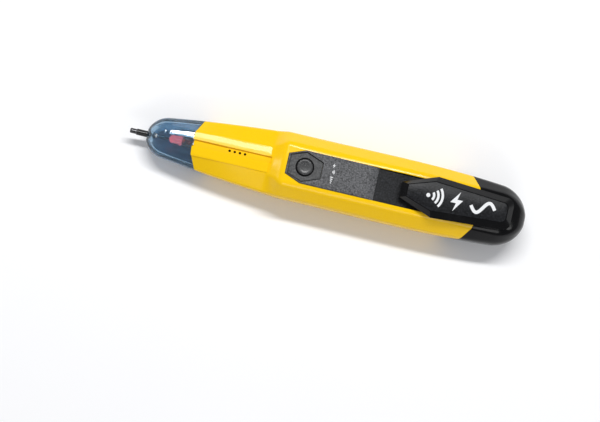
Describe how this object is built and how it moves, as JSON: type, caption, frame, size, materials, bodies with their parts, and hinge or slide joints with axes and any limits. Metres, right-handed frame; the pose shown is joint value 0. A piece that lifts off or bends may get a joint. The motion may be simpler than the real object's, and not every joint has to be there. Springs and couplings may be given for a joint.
{
  "type": "non contact voltage tester",
  "caption": "Pen-shaped tester with a clear probe end, a light and sounder, a push button, a pocket clip and a tail cap over its cells.",
  "frame": {"origin": "under the middle of the whole length, on the plane the flat back rests on", "axes": "+X from the probe tip to the tail, +Y across the case, +Z out of the button face"},
  "size_m": [0.1598, 0.027, 0.0246],
  "materials": {
    "yellow_plastic": "satin moulded ABS, fine texture",
    "black_plastic": "smooth, glossy moulded ABS",
    "textured_grip": "spark-eroded texture",
    "clip_plastic": "textured top with glossy bevels",
    "button_plastic": "smooth, slightly dished",
    "smoky_lens": "smoky blue-grey clear polycarbonate",
    "plated_steel": "nickel plate",
    "sleeve_plastic": "smooth tubing",
    "red_led": "clear red epoxy",
    "tinned_wire": "tinned",
    "copper_wire": "enamelled copper",
    "inner_plastic": "plain moulded",
    "brass_strip": "plain strip",
    "board_laminate": "green solder mask",
    "component_plastic": "moulded packages",
    "foam_rubber": "closed-cell foam",
    "spring_steel": "nickel plate",
    "cell_jacket": "printed jacket over steel",
    "screw_steel": "zinc plate",
    "label_film": "printed film"
  },
  "bodies": {
    "case": {"upper_housing": "yellow_plastic", "lower_housing": "yellow_plastic", "tip_lens": "smoky_lens", "probe_pin": "plated_steel", "probe_sleeve": "sleeve_plastic", "indicator_led": "red_led", "led_leads": "tinned_wire", "antenna_coil": "copper_wire", "sensor_mount": "inner_plastic", "probe_contact": "brass_strip", "circuit_board": "board_laminate", "board_components": "component_plastic", "tact_switch": "component_plastic", "piezo_buzzer": "component_plastic", "buzzer_gasket": "foam_rubber", "button_panel": "textured_grip", "button_bezel": "textured_grip", "rear_panel": "black_plastic", "contact_carrier": "inner_plastic", "front_contact_positive": "spring_steel", "front_contact_negative": "spring_steel", "front_spring": "spring_steel", "cell_left": "cell_jacket", "cell_right": "cell_jacket", "case_screws": "screw_steel", "back_label": "label_film"},
    "button": {"power_button": "button_plastic"},
    "plunger": {"switch_plunger": "inner_plastic"},
    "cap": {"tail_cap": "black_plastic", "cap_contact": "spring_steel", "cap_spring": "spring_steel"},
    "clip": {"pocket_clip": "clip_plastic"}
  },
  "joints": [
    {"name": "button_press", "type": "slide", "parent": "case", "child": "button", "axis": [0, 0, -1], "range_m": [0, 0.0005], "stiffness_N_per_m": 1500, "springref_m": -0.0005},
    {"name": "plunger_press", "type": "slide", "parent": "case", "child": "plunger", "axis": [0, 0, -1], "range_m": [0, 0.0005]},
    {"name": "cap_pull", "type": "slide", "parent": "case", "child": "cap", "axis": [1, 0, 0], "range_m": [0, 0.045]},
    {"name": "clip_flex", "type": "hinge", "parent": "cap", "child": "clip", "pos_m": [0.06925, 0, 0.0195], "axis": [0, 1, 0], "range_deg": [0, 3.5], "stiffness_Nm_per_rad": 4, "springref_deg": -0.57}
  ],
  "couplings": [
    {"joint": "plunger_press", "follows": "button_press", "ratio": 1}
  ]
}
